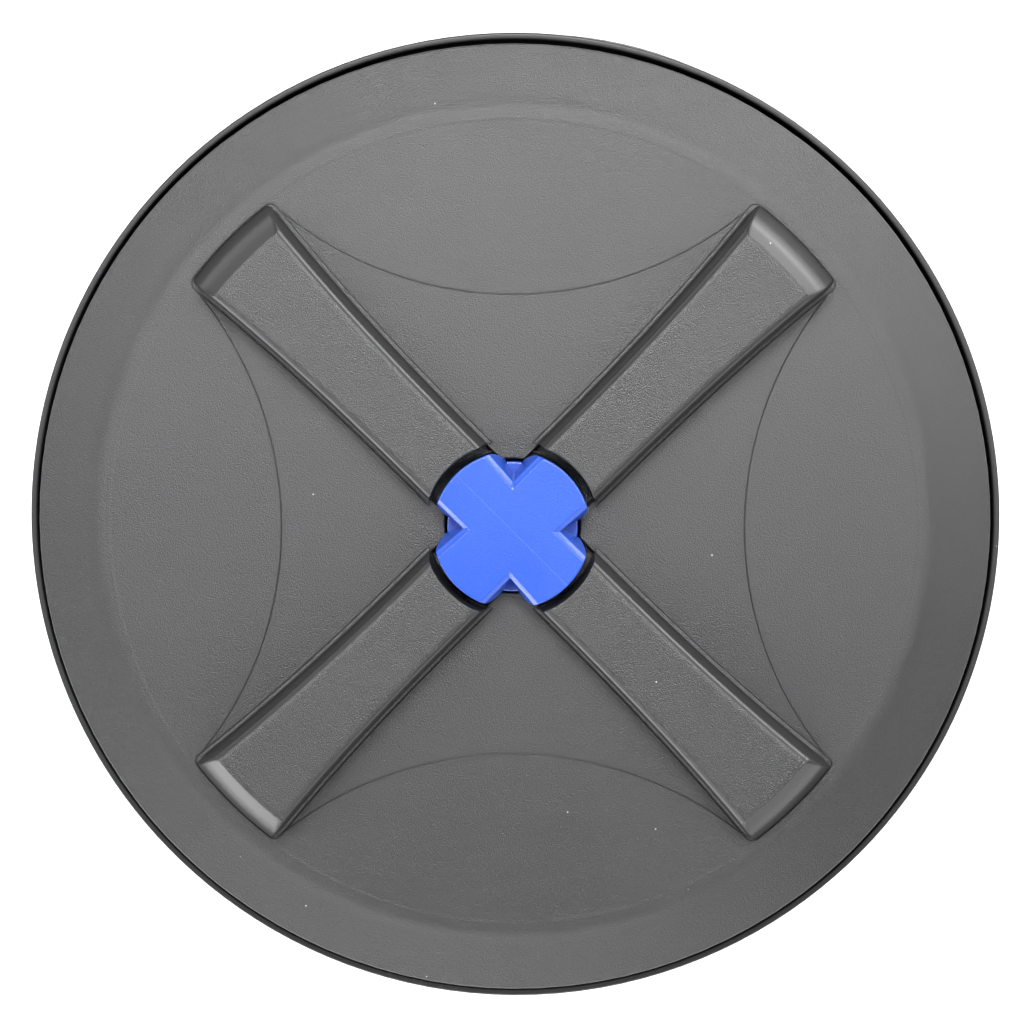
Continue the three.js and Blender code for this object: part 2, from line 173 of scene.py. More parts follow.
class DRUM_PG_cap(bpy.types.PropertyGroup):
    """Sizes of the twist cap and of the neck that it screws on to."""

    top: length("Top", "Height of the grip's top", CAP_HIGH.z)
    bottom: length("Skirt bottom", "Height of the cap skirt's lower edge", CAP_LOW.z)
    plate: length("Plate", "Height of the cap plate's underside", 0.9125)
    flange: length("Flange", "Thickness of the round flange under the grip", 0.004)
    flange_radius: length("Flange radius", "Radius of the round flange", 0.0392)
    skirt_outer: length("Skirt outside", "Outer radius of the cap's skirt", 0.0362)
    skirt_inner: length("Skirt inside", "Inner radius of the cap's skirt", 0.0326)
    grip_radius: length("Grip radius", "Radius of the four lobes", 0.0472)
    grip_foot: length("Grip foot", "Radius of the lobes where they meet the flange", 0.0412)
    notch: length("Notch", "Distance from the centre to a notch's point, at the bevel's inner edge", 0.0243)
    bevel: length("Bevel", "Distance that the notch's point moves out across the bevel", 0.0044)
    bevel_depth: length("Bevel depth", "How far the bevel falls", 0.0025)
    notch_angle: angle("Notch angle", "Half the angle between a notch's walls", 43)
    foot_angle: angle("Foot angle", "Half the angle between a notch's walls at the flange", 30)
    turn: angle("Turn", "How far the grip is turned from the ribs' directions when it is screwed home", -1.7)
    bore: length("Bore", "Radius of the neck's bore", 0.022)
    tube: length("Tube", "Outer radius of the neck's tube", NECK_TUBE)


class DRUM_PG_finish(bpy.types.PropertyGroup):
    """Colours and surface values."""

    lid_black: colour("Lid", "Black of the lid", (0.013, 0.013, 0.014))
    barrel_black: colour("Barrel", "Black of the barrel", (0.012, 0.012, 0.013))
    fitting_black: colour("Fittings", "Black of the neck fitting and its nut", (0.011, 0.011, 0.012))
    cap_blue: colour("Cap", "Blue of the twist cap", (0.006, 0.058, 0.40))
    seal_black: colour("Seals", "Black of the rubber seals", (0.012, 0.012, 0.012))
    film_white: colour("Membrane", "White of the vent membrane", (0.80, 0.80, 0.77))
    lid_gloss: share("Lid roughness", "Roughness of the lid's grained faces", 0.34)
    grain: length("Grain", "Size of the moulded grain", 0.0008)


class DRUM_PG_stage(bpy.types.PropertyGroup):
    """Camera, floor and lights."""

    lens: bpy.props.FloatProperty(
        name="Lens", description="Focal length on a 36 mm sensor", default=154.14, unit="CAMERA"
    )
    distance: length("Distance", "From the camera to the middle of the collar", 2.6796)
    tilt_x: angle("Tilt X", "How far the camera stands off the vertical towards +X", 1.492)
    tilt_y: angle("Tilt Y", "How far the camera stands off the vertical towards +Y", 6.249)
    aim_y: length("Aim", "How far the camera's aim lies from the axis towards +Y", 0.0036)
    floor: length("Floor", "Side of the square floor", 60.0)


GROUPS = {
    "drum_barrel": DRUM_PG_barrel,
    "drum_lid": DRUM_PG_lid,
    "drum_cap": DRUM_PG_cap,
    "drum_finish": DRUM_PG_finish,
    "drum_stage": DRUM_PG_stage,
}


# ---- profiles and surfaces ----

def rounded(corners, steps=6, closed=False, support=0.0004):
    """A path through corners (radius, height, fillet), each corner rounded by an arc of its fillet's radius.

    An arc touches both sides at fillet / tan(half the corner's angle) from the corner, and its points are
    turned evenly about its centre. Long straight stretches get a point close to each end, which keeps
    shading flat there.
    """
    points = np.array([corner[:2] for corner in corners], float)
    count = len(points)
    path = []
    for i in range(count):
        here, fillet = points[i], corners[i][2]
        if fillet == 0 or (not closed and i in (0, count - 1)):
            path.append(here[None])
            continue
        back, ahead = points[i - 1] - here, points[(i + 1) % count] - here
        back_length, ahead_length = np.linalg.norm(back), np.linalg.norm(ahead)
        back, ahead = back / back_length, ahead / ahead_length
        half = math.acos(np.clip(back @ ahead, -1, 1)) / 2
        turn = math.pi - 2 * half
        if turn < 1e-3:
            path.append(here[None])
            continue
        touch = min(fillet / math.tan(half), 0.49 * back_length, 0.49 * ahead_length)
        radius = touch * math.tan(half)
        middle = (back + ahead) / np.linalg.norm(back + ahead)
        centre = here + middle * radius / math.sin(half)
        start, end = here + back * touch - centre, here + ahead * touch - centre
        part = np.linspace(0, 1, steps + 1)[:, None]
        arc = (np.sin((1 - part) * turn) * start + np.sin(part * turn) * end) / math.sin(turn)
        path.append(centre + arc)
    path = np.concatenate(path)
    if closed:
        path = np.concatenate([path, path[:1]])
    span = np.diff(path, axis=0)
    span_length = np.linalg.norm(span, axis=1)
    keep = [path[:1]]
    for start, step, size in zip(path[:-1], span, span_length):
        if size > 5 * support:
            keep.append(np.stack([start + step * support / size, start + step * (1 - support / size)]))
        keep.append((start + step)[None])
    path = np.concatenate(keep)
    return path[:-1] if closed else path


def grid_quads(rows, columns, wrap_rows, wrap_columns, first=0):
    """Corner numbers of every quad of a grid of points, row by row, joined round where a side wraps."""
    i, j = np.meshgrid(
        np.arange(rows if wrap_rows else rows - 1),
        np.arange(columns if wrap_columns else columns - 1),
        indexing="ij",
    )
    i_next, j_next = (i + 1) % rows, (j + 1) % columns
    row, next_row = i * columns, i_next * columns
    return np.stack([row + j, row + j_next, next_row + j_next, next_row + j], -1).reshape(-1, 4) + first


def around(radius, turn, height):
    """Points at a radius, a turn about Z and a height: x = radius cos(turn), y = radius sin(turn), z =
    height.
    """
    x, y = radius * np.cos(turn), radius * np.sin(turn)
    return np.stack([x, y, np.broadcast_to(height, x.shape)], -1)


def revolve(profile, columns):
    """Points of a profile (radius, height) turned evenly about Z."""
    turn = np.linspace(0, 2 * math.pi, columns, endpoint=False)
    return around(profile[:, :1], turn, profile[:, 1:2])


def new_piece(name, shells, material, body, node=None, attributes=None):
    """An object made of grids of points. Each shell is (points, rows wrap, columns wrap).

    Points that meet, at poles and at tapered ends, are merged, so every shell is closed. The faces are
    shaded smooth.
    """
    vertices, quads, first = [], [], 0
    for points, wrap_rows, wrap_columns in shells:
        rows, columns = points.shape[:2]
        vertices.append(points.reshape(-1, 3))
        quads.append(grid_quads(rows, columns, wrap_rows, wrap_columns, first))
        first += rows * columns
    mesh = bpy.data.meshes.new(name)
    mesh.from_pydata(np.concatenate(vertices).tolist(), [], np.concatenate(quads).tolist())
    for key, values in (attributes or {}).items():
        layer = mesh.attributes.new(key, "FLOAT", "POINT")
        layer.data.foreach_set("value", np.ascontiguousarray(values, np.float32).ravel())
    merged = bmesh.new()
    merged.from_mesh(mesh)
    bmesh.ops.remove_doubles(merged, verts=merged.verts, dist=1e-6)
    merged.to_mesh(mesh)
    merged.free()
    mesh.polygons.foreach_set("use_smooth", np.ones(len(mesh.polygons), bool))
    mesh.materials.append(material)
    piece = bpy.data.objects.new(name, mesh)
    bpy.context.scene.collection.objects.link(piece)
    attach(piece, body)
    if node:
        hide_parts(node)
    return piece


def thread_ridge(root, crest, width, lead, bottom, height, start):
    """Points of one helical ridge: angle grows with each step and height by one lead a turn.

    Its section is a rounded trapezium from root to crest. Over the first and last eighth of the sweep the
    section shrinks to nothing on the root, as a moulded thread runs out.
    """
    sweep = height / lead * 2 * math.pi
    run_out = 1 / 8
    along = np.linspace(0, 1, 97)[:, None]
    size = np.sqrt(np.clip(np.minimum(along, 1 - along) / run_out, 0, 1))
    across = np.array([-0.5, -0.42, -0.36, -0.28, 0.28, 0.36, 0.42, 0.5])[None]
    outward = np.array([0.0, 0.55, 0.9, 1.0, 1.0, 0.9, 0.55, 0.0])[None]
    turn = start + sweep * along
    radius = root + (crest - root) * outward * size
    z = bottom + width / 2 + lead * sweep * along / (2 * math.pi) + across * width * size
    points = around(radius, turn, z)
    return points if crest > root else points[:, ::-1]


def thread(starts, phase, **ridge):
    """All starts of a thread as shells, evenly spaced round the axis; phase shifts them by part of that
    space.
    """
    turns = [(i + phase) * 2 * math.pi / starts for i in range(starts)]
    return [(thread_ridge(start=turn, **ridge), False, True) for turn in turns]


# ---- shared shader groups ----

def new_group(name, inputs, outputs):
    """An empty shader group with float or vector inputs and float outputs, and its two end nodes."""
    group = bpy.data.node_groups.new(name, "ShaderNodeTree")
    for socket, kind, default in inputs:
        made = group.interface.new_socket(socket, in_out="INPUT", socket_type=kind)
        if default is not None:
            made.default_value = default
    for socket in outputs:
        group.interface.new_socket(socket, in_out="OUTPUT", socket_type="NodeSocketFloat")
    return group, group.nodes.new("NodeGroupInput"), group.nodes.new("NodeGroupOutput")


def node(tree, kind, **values):
    """A node with its properties set; a value whose key is a socket's name or number goes to that socket."""
    made = tree.nodes.new(kind)
    for key, value in values.items():
        if hasattr(made, key):
            setattr(made, key, value)
        else:
            made.inputs[key.replace("_", " ")].default_value = value
    return made


def maths(tree, operation, first, second=None, third=None):
    """A Math node fed by sockets or numbers, returning its result's socket."""
    made = tree.nodes.new("ShaderNodeMath")
    made.operation = operation
    for socket, value in zip(made.inputs, (first, second, third)):
        if isinstance(value, (int, float)):
            socket.default_value = value
        elif value is not None:
            tree.links.new(value, socket)
    return made.outputs[0]


def ramp(tree, value, low, high, to_low=0.0, to_high=1.0):
    """The value mapped from low..high to to_low..to_high with smooth ends, as a socket."""
    made = tree.nodes.new("ShaderNodeMapRange")
    made.interpolation_type = "SMOOTHSTEP"
    tree.links.new(value, made.inputs["Value"])
    for key, limit in zip(("From Min", "From Max", "To Min", "To Max"), (low, high, to_low, to_high)):
        made.inputs[key].default_value = limit
    return made.outputs["Result"]


def grain_group():
    """Moulded grain: fine rounded pebbles broken up by noise. Size is the pebbles' size in metres.

    Height feeds a bump. Tone is a slow mottling, 0 to 1, for colour and roughness.
    """
    group, start, end = new_group(
        "Moulded grain",
        [("Vector", "NodeSocketVector", None), ("Size", "NodeSocketFloat", 0.001)],
        ["Height", "Tone"],
    )
    frequency = maths(group, "DIVIDE", 1.0, start.outputs["Size"])
    pebbles = node(group, "ShaderNodeTexVoronoi", feature="SMOOTH_F1")
    pebbles.inputs["Smoothness"].default_value = 0.6
    noise = node(group, "ShaderNodeTexNoise", Detail=3.0, Roughness=0.6)
    slow = node(group, "ShaderNodeTexNoise", Scale=9.0, Detail=4.0, Roughness=0.55)
    for made in (pebbles, noise, slow):
        group.links.new(start.outputs["Vector"], made.inputs["Vector"])
    group.links.new(frequency, pebbles.inputs["Scale"])
    group.links.new(maths(group, "MULTIPLY", frequency, 1.3), noise.inputs["Scale"])
    height = maths(group, "MULTIPLY_ADD", pebbles.outputs["Distance"], -0.6, noise.outputs["Fac"])
    group.links.new(height, end.inputs["Height"])
    group.links.new(slow.outputs["Fac"], end.inputs["Tone"])
    return group


def dust_group():
    """Dust and scuffs, each a mask from 0 to 1: sparse specks, and soft rubbed patches with fine streaks."""
    group, start, end = new_group(
        "Dust and scuffs",
        [("Vector", "NodeSocketVector", None), ("Amount", "NodeSocketFloat", 0.5)],
        ["Specks", "Scuffs"],
    )
    cells = node(group, "ShaderNodeTexVoronoi", Scale=150.0)
    pick = node(group, "ShaderNodeSeparateColor")
    patches = node(group, "ShaderNodeTexNoise", Scale=7.0, Detail=3.0)
    streaks = node(group, "ShaderNodeTexNoise", Scale=420.0, Detail=4.0, Roughness=0.7)
    for made in (cells, patches, streaks):
        group.links.new(start.outputs["Vector"], made.inputs["Vector"])
    group.links.new(cells.outputs["Color"], pick.inputs["Color"])
    size = ramp(group, cells.outputs["Distance"], 0.10, 0.04)
    common = maths(group, "SUBTRACT", 1.0, maths(group, "MULTIPLY", start.outputs["Amount"], 0.035))
    rare = maths(group, "GREATER_THAN", pick.outputs["Red"], common)
    group.links.new(maths(group, "MULTIPLY", size, rare), end.inputs["Specks"])
    rubbed = ramp(group, patches.outputs["Fac"], 0.56, 0.74)
    fine = ramp(group, streaks.outputs["Fac"], 0.5, 0.72)
    scuffs = maths(group, "MULTIPLY", rubbed, fine)
    group.links.new(maths(group, "MULTIPLY", scuffs, start.outputs["Amount"]), end.inputs["Scuffs"])
    return group


def shared(name, make):
    """A shader group by name, made the first time that it is asked for."""
    return bpy.data.node_groups.get(name) or make()


def place_group(tree, name, make, vector, **values):
    """A shared group placed in a material, with its own values and its vector linked."""
    made = tree.nodes.new("ShaderNodeGroup")
    made.node_tree = shared(name, make)
    tree.links.new(vector, made.inputs["Vector"])
    for key, value in values.items():
        made.inputs[key].default_value = value
    return made


# ---- materials ----

def new_material(name, base, roughness, **shader):
    """A material with its Principled shader's own values set, its tree and the object's coordinates."""
    material = bpy.data.materials.new(name)
    material.use_nodes = True
    tree = material.node_tree
    principled = next(n for n in tree.nodes if n.type == "BSDF_PRINCIPLED")
    principled.inputs["Base Color"].default_value = (*base, 1)
    principled.inputs["Roughness"].default_value = roughness
    for key, value in shader.items():
        principled.inputs[key.replace("_", " ")].default_value = value
    coordinates = tree.nodes.new("ShaderNodeTexCoord").outputs["Object"]
    return material, tree, principled, coordinates


def mix_colour(tree, factor, first, second):
    """A colour between two, each a socket or an RGB value, by a factor's socket."""
    made = tree.nodes.new("ShaderNodeMix")
    made.data_type = "RGBA"
    tree.links.new(factor, made.inputs["Factor"])
    for key, value in (("A", first), ("B", second)):
        socket = next(s for s in made.inputs if s.name == key and s.type == "RGBA")
        if isinstance(value, bpy.types.NodeSocket):
            tree.links.new(value, socket)
        else:
            socket.default_value = (*value, 1)
    return next(s for s in made.outputs if s.type == "RGBA")


def bump(tree, principled, height, distance):
    """Feeds a height's socket through a Bump node into the shader's Normal."""
    made = node(tree, "ShaderNodeBump", Strength=1.0, Distance=distance)
    tree.links.new(height, made.inputs["Height"])
    tree.links.new(made.outputs["Normal"], principled.inputs["Normal"])


def crease_band(tree, place):
    """A mask that is 1 near the lid's crease and falls to 0.15 away from it, by the distance from the Z
    axis.
    """
    level = node(tree, "ShaderNodeVectorMath", operation="MULTIPLY")
    level.inputs[1].default_value = (1, 1, 0)
    distance = node(tree, "ShaderNodeVectorMath", operation="LENGTH")
    tree.links.new(place, level.inputs[0])
    tree.links.new(level.outputs["Vector"], distance.inputs[0])
    away = maths(tree, "ABSOLUTE", maths(tree, "SUBTRACT", distance.outputs["Value"], 0.256))
    return ramp(tree, away, 0.022, 0.006, 0.15, 1.0)


def moulded_plastic(name, base, roughness, grain, relief, dust, masked=False, gloss=0.5):
    """Black moulded polyethylene: grain in the surface, slow changes of tone and sheen, dust and rubbed
    patches.

    With masked, the piece's own attribute grain says where the mould was textured. The rest stays smooth,
    and the rubbed patches keep to the band round the crease.
    """
    material, tree, principled, place = new_material(name, base, roughness, Specular_IOR_Level=gloss)
    texture = place_group(tree, "Moulded grain", grain_group, place, Size=grain)
    dirt = place_group(tree, "Dust and scuffs", dust_group, place, Amount=dust)
    scuffs = dirt.outputs["Scuffs"]
    height = texture.outputs["Height"]
    sheen = ramp(tree, texture.outputs["Tone"], 0.3, 0.7, roughness - 0.03, roughness + 0.03)
    if masked:
        mask = tree.nodes.new("ShaderNodeAttribute")
        mask.attribute_name = "grain"
        height = maths(tree, "MULTIPLY", height, mask.outputs["Fac"])
        smooth = maths(tree, "MULTIPLY", maths(tree, "SUBTRACT", 1.0, mask.outputs["Fac"]), 0.04)
        sheen = maths(tree, "ADD", sheen, smooth)
        scuffs = maths(tree, "MULTIPLY", scuffs, crease_band(tree, place))
    bump(tree, principled, height, relief)
    tone = mix_colour(tree, texture.outputs["Tone"], [c * 0.85 for c in base], [c * 1.15 for c in base])
    worn = mix_colour(tree, scuffs, tone, [min(c * 5 + 0.05, 1) for c in base])
    dusty = mix_colour(tree, dirt.outputs["Specks"], worn, (0.42, 0.41, 0.39))
    worn_sheen = maths(tree, "ADD", sheen, maths(tree, "MULTIPLY", scuffs, 0.2))
    tree.links.new(dusty, principled.inputs["Base Color"])
    tree.links.new(worn_sheen, principled.inputs["Roughness"])
    return material


def cap_plastic(name, base):
    """Bright blue moulding: a faint fine grain, a slow change of tone and a fine line across two of its
    lobes.
    """
    material, tree, principled, place = new_material(name, base, 0.3, Specular_IOR_Level=0.9)
    links = tree.links
    texture = place_group(tree, "Moulded grain", grain_group, place, Size=0.0009)
    split = tree.nodes.new("ShaderNodeSeparateXYZ")
    links.new(place, split.inputs[0])
    across = maths(tree, "ABSOLUTE", maths(tree, "ADD", split.outputs["X"], split.outputs["Y"]))
    line = ramp(tree, across, 0.00035, 0.0)
    height = maths(tree, "MULTIPLY_ADD", texture.outputs["Height"], 0.8, line)
    bump(tree, principled, height, 0.1 * MM)
    tone = mix_colour(tree, texture.outputs["Tone"], [c * 0.9 for c in base], [min(c * 1.1, 1) for c in base])
    marked = mix_colour(tree, maths(tree, "MULTIPLY", line, 0.3), tone, (0.10, 0.20, 0.75))
    links.new(marked, principled.inputs["Base Color"])
    links.new(ramp(tree, texture.outputs["Tone"], 0.3, 0.7, 0.27, 0.33), principled.inputs["Roughness"])
    return material


def seal_rubber(name, base):
    """Matte moulded rubber with a powdery bloom."""
    material, tree, principled, place = new_material(name, base, 0.8)
    texture = place_group(tree, "Moulded grain", grain_group, place, Size=0.0006)
    bloom = ramp(tree, texture.outputs["Tone"], 0.45, 0.7)
    tree.links.new(mix_colour(tree, bloom, base, [c * 2.5 for c in base]), principled.inputs["Base Color"])
    bump(tree, principled, texture.outputs["Height"], 0.04 * MM)
    return material


def vent_film(name, base):
    """White porous film: a fine fibrous surface, fully matte."""
    material, tree, principled, place = new_material(name, base, 0.9)
    fibres = node(tree, "ShaderNodeTexNoise", Scale=2600.0, Detail=5.0, Roughness=0.7)
    tree.links.new(place, fibres.inputs["Vector"])
    shade = ramp(tree, fibres.outputs["Fac"], 0.35, 0.65)
    tree.links.new(mix_colour(tree, shade, [c * 0.86 for c in base], base), principled.inputs["Base Color"])
    bump(tree, principled, fibres.outputs["Fac"], 0.03 * MM)
    return material


def finish_named(name):
    """One of the object's materials, made the first time that it is asked for."""
    made = bpy.data.materials.get(name)
    if made:
        return made
    look = bpy.context.scene.drum_finish
    makers = {
        "lid plastic": lambda: moulded_plastic(
            name, look.lid_black, look.lid_gloss, look.grain, 0.32 * MM, 0.3, masked=True, gloss=0.7
        ),
        "barrel plastic": lambda: moulded_plastic(name, look.barrel_black, 0.42, 1.6 * MM, 0.06 * MM, 0.6),
        "fitting plastic": lambda: moulded_plastic(name, look.fitting_black, 0.34, 0.7 * MM, 0.02 * MM, 0.2),
        "cap plastic": lambda: cap_plastic(name, look.cap_blue),
        "seal rubber": lambda: seal_rubber(name, look.seal_black),
        "vent film": lambda: vent_film(name, look.film_white),
    }
    return makers[name]()


# ---- barrel ----

def barrel_outside(size):
    """Corners of the barrel's outside from the foot to the collar's top, as (radius, height, fillet)."""
    wall = size.radius - size.inset
    chime = size.radius - 2 * MM
    groove = size.radius - size.chime_groove
    grab = size.radius - size.grab_inset
    under = size.collar_top - size.collar_depth - size.wall
    grab_top = under - GRAB_DROP
    grab_bottom = grab_top - size.grab_height
    low, high = size.chime_height + 24 * MM, grab_bottom - 16 * MM
    corners = [
        (chime - 18 * MM, 0, 2 * MM),
        (chime, 0.5 * MM, 13 * MM),
        (chime, size.chime_height, 4 * MM),
        (groove, size.chime_height + 7 * MM, 4 * MM),
        (groove, size.chime_height + 17 * MM, 4 * MM),
        (wall, low, 8 * MM),
    ]
    for i in range(size.hoops):
        centre = low + (high - low) * (i + 1) / (size.hoops + 1)
        half = size.hoop_width / 2
        corners += [
            (wall - 4 * MM, centre - half - 10 * MM, 14 * MM),
            (size.radius - 1 * MM, centre - half + 4 * MM, 6 * MM),
            (size.radius - 1 * MM, centre + half - 4 * MM, 6 * MM),
            (wall - 4 * MM, centre + half + 10 * MM, 14 * MM),
        ]
    corners += [
        (wall, high, 9 * MM),
        (grab, grab_bottom, 5 * MM),
        (grab, grab_top, 5 * MM),
        (size.radius, under + 2 * MM, 3 * MM),
        (size.radius, size.collar_top, size.collar_wall * 0.32),
        (size.radius - size.collar_wall, size.collar_top, size.collar_wall * 0.32),
    ]
    return corners


def barrel_inside(size, skirt_inner):
    """Corners from the collar's inner edge down the gutter, over the neck's rim and inside to the base."""
    collar_inner = size.radius - size.collar_wall
    gutter = size.collar_top - size.collar_depth
    under = gutter - size.wall
    neck = skirt_inner - size.neck_gap
    bore = neck - size.neck_wall
    grab = size.radius - size.grab_inset - size.wall
    wall = size.radius - size.inset - size.wall - 4 * MM
    grab_bottom = under - GRAB_DROP - size.grab_height
    foot_outer = size.radius - 20 * MM
    foot_inner = foot_outer - size.foot_width
    floor = size.base_rise + size.wall
    return [
        (collar_inner, gutter, 4 * MM),
        (neck, gutter, 3 * MM),
        (neck, size.neck_top, 1.6 * MM),
        (bore, size.neck_top, 1.6 * MM),
        (bore, under - 4 * MM, 5 * MM),
        (grab, grab_bottom, 6 * MM),
        (wall, grab_bottom - 24 * MM, 12 * MM),
        (wall, size.chime_height + 30 * MM, 8 * MM),
        (size.radius - size.chime_groove - size.wall, size.chime_height + 12 * MM, 6 * MM),
        (size.radius - 11.5 * MM, size.chime_height - 4 * MM, 6 * MM),
        (size.radius - 11.5 * MM, size.wall, 14 * MM),
        (foot_inner, size.wall, 3 * MM),
        (foot_inner - 8 * MM, floor, 3 * MM),
        (0, floor, 0),
        (0, size.base_rise, 0),
        (foot_inner - 7 * MM, size.base_rise, 3 * MM),
        (foot_inner + 2 * MM, 0, 2 * MM),
    ]


def mould_seam(turn, radius, height):
    """Rise of the two vertical mould seams on the barrel's outside: a ridge 0.3 mm high, 2 mm wide, at +X
    and -X.
    """
    away = np.abs(np.sin(turn)) * radius
    ridge = SEAM_HEIGHT * np.exp(-((away / MM) ** 2))
    top = bpy.context.scene.drum_barrel.collar_top - 6 * MM
    return ridge * ((height > 14 * MM) & (height < top) & (radius > 270 * MM))


def seam_turns(columns):
    """Turn angles of a ring, drawn together towards +X and -X so that the mould seams get narrow faces."""
    even = np.linspace(0, 2 * math.pi, columns, endpoint=False)
    return even - 0.492 * np.sin(2 * even)


class DRUM_OT_barrel(bpy.types.Operator):
    """Make the barrel with its collar, threaded neck, rolling hoops and chime"""

    bl_idname = "drum.barrel"
    bl_label = "Barrel"

    def execute(self, context):
        size, lid = context.scene.drum_barrel, context.scene.drum_lid
        skirt_inner = lid.radius - lid.wall
        profile = rounded(barrel_outside(size) + barrel_inside(size, skirt_inner), closed=True)
        turn = seam_turns(276)[None, :]
        radius, height = profile[:, :1], profile[:, 1:2]
        outside = np.arange(len(profile))[:, None] < len(rounded(barrel_outside(size)))
        radius = np.minimum(radius + mould_seam(turn, radius, height) * outside, size.radius)
        ridges = thread(
            LID_THREAD_STARTS, 0, root=skirt_inner - size.neck_gap - 1.5 * MM,
            crest=skirt_inner - THREAD_CLEARANCE, bottom=lid.bottom + 2 * MM, **LID_THREAD,
        )
        shells = [(around(radius, turn, height), True, True), *ridges]
        new_piece("barrel", shells, finish_named("barrel plastic"), "drum", "drum_body")
        return {"FINISHED"}


# ---- lid ----

def dome_height(size, radius):
    """Height of the dome: it falls with the square of the radius, by dome_drop at the ribs' ends."""
    return size.plateau - size.dome_drop * (radius / size.rib_outer) ** 2


def lid_base(size):
    """The lid's outline without ribs, outside then inside, as a closed path; the ribs are added to it later.
    """
    skirt_inner = size.radius - size.wall
    crease = size.radius - size.crease_in
    neck = skirt_inner - NECK_GAP
    hole = NECK_TUBE + CLEARANCE
    well_outer = size.well_radius + size.wall
    well_floor = size.plateau - size.well_depth
    seat = size.plateau - 20.3 * MM
    dome = [(r, dome_height(size, r)) for r in np.linspace(size.rib_outer, size.well_radius, 14)]
    under = [(r, dome_height(size, r) - size.wall) for r in np.linspace(well_outer, size.rib_outer, 10)]
    half_run = size.crease_run / 2
    crease_top = dome_height(size, crease - half_run)
    outside = [
        (size.radius, size.bottom, 1 * MM),
        (size.radius, size.plateau - size.edge_drop, 1.3 * MM),
        (crease + half_run, crease_top - size.crease_fall, 70 * MM),
        (crease - half_run, crease_top, 50 * MM),
        *[(r, z, 0) for r, z in dome[:-1]],
        (*dome[-1], 1.2 * MM),
        (size.well_radius, well_floor, 2 * MM),
    ]
    inside = [
        (hole, well_floor, 0.4 * MM),
        (hole, well_floor - size.wall, 0.4 * MM),
        (well_outer, well_floor - size.wall, 2 * MM),
        (*under[0], 2 * MM),
        *[(r, z, 0) for r, z in under[1:]],
        (neck - 9 * MM, seat, 1 * MM),
        (neck + 4 * MM, seat, 1 * MM),
        (skirt_inner, size.plateau - size.edge_drop - 2 * MM, 2 * MM),
        (skirt_inner, size.bottom, 1 * MM),
    ]
    return outside, inside


class RibShape:
    """How high the ribs stand at any place on the lid, and where their edges are."""

    def __init__(self, size, shell=0.0):
        self.size, self.shell = size, shell
        self.inner, self.outer = size.rib_inner + shell, size.rib_outer - shell
        self.height = size.rib_top + 5 * MM
        self.side, self.side_draft = self.wall(size.side_run, size.side_crown, size.side_foot)
        shoulder = (size.end_shoulder, size.shoulder_fall, 2.4 * MM)
        self.end, self.end_draft = self.wall(size.end_run, size.end_crown, 0.5 * MM, shoulder)
        self.start, _ = self.wall(0.8 * MM, 1.2 * MM, 1 * MM)

    def wall(self, run, crown, foot, shoulder=(0, 0, 0)):
        """A wall's section, as distances in from its foot with their shares of the full height, and its
        width.

        The section is a fillet, a slope that leans in by run, a rounding and, where one is asked for, a
        sloping shoulder (width, fall, rounding above). An arc between two straight lines reaches radius x
        tan(half the turn) along each of them.
        """
        width, fall, edge = shoulder
        reach = math.tan(math.atan2(self.height - fall, run) / 2)
        begin = foot * reach
        corners = [(-20 * MM, 0, 0), (begin, 0, foot), (begin + run, self.height - fall, crown)]
        draft = begin + run + crown * reach
        if width:
            corners.append((begin + run + width, self.height, edge))
            draft = begin + run + width + edge * math.tan(math.atan2(fall, width) / 2)
        path = rounded([*corners, (80 * MM, self.height, 0)], 14)
        return (path[:, 0], path[:, 1] / self.height), draft

    def half_width(self, radius):
        """Half a rib's width at its foot: even near the centre, then flaring as a power of the distance out.
        """
        size = self.size
        along = np.clip((radius - size.rib_inner) / (size.rib_outer - size.rib_inner), 0, 1.05)
        flare = (size.rib_half_outer - size.rib_half_inner) * along**size.rib_flare
        return size.rib_half_inner + flare - self.shell

    def columns(self, radius, per_half=(9, 21, 4, 11)):
        """Angles from a rib's axis for each row's radius, gathered on the rib's side wall.

        The half sector from a rib's axis to 45 degrees is cut into its flat top, its wall, the foot and the
        rest.
        """
        half = self.half_width(radius)
        foot = np.arcsin(np.clip(half / radius, 0, 0.69))
        top = np.arcsin(np.clip((half - self.side_draft) / radius, 0, 0.6))
        clear = foot + np.minimum(3 * MM / radius, 0.5 * (math.pi / 4 - foot))
        knots = [np.zeros_like(radius), top, foot, clear, np.full_like(radius, math.pi / 4)]
        parts = []
        for low, high, count in zip(knots[:-1], knots[1:], per_half):
            parts.append(low[:, None] + (high - low)[:, None] * np.arange(count) / count)
        return np.concatenate([*parts, knots[-1][:, None]], 1)

    def share(self, radius, off_axis):
        """Share of the rib's full height, 0 to 1, at a radius and an angle from the rib's axis.

        Side, end and start walls each give a share. What each lacks is added as cubes, which rounds the
        corners where two walls meet. Near a side the end's foot draws back along a quarter circle.
        """
        from_side = self.half_width(radius) - radius * np.abs(np.sin(off_axis))
        corner = self.size.corner
        drawn_back = corner - np.sqrt(corner**2 - np.clip(corner - from_side, 0, corner) ** 2)
        side = np.interp(from_side, *self.side)
        end = np.interp(self.outer - radius - drawn_back, *self.end)
        start = np.interp(radius - self.inner, *self.start)
        lacking = (1 - side) ** 3 + (1 - end) ** 3 + (1 - start) ** 3
        return np.clip(1 - np.cbrt(lacking), 0, 1)

    def pocket(self, radius, off_axis, narrowed):
        """Share of the pocket's depth, 0 to 1: it grows over 1.5 mm from sides that lie inside the rib's
        own.
        """
        from_side = self.half_width(radius) - narrowed - radius * np.abs(np.sin(off_axis))
        return np.clip(from_side / (1.5 * MM), 0, 1)

    def top(self, radius):
        """Height of a rib's top at a radius."""
        size = self.size
        return size.plateau + size.rib_top - size.rib_fall * (radius / size.rib_outer) ** 2 - self.shell


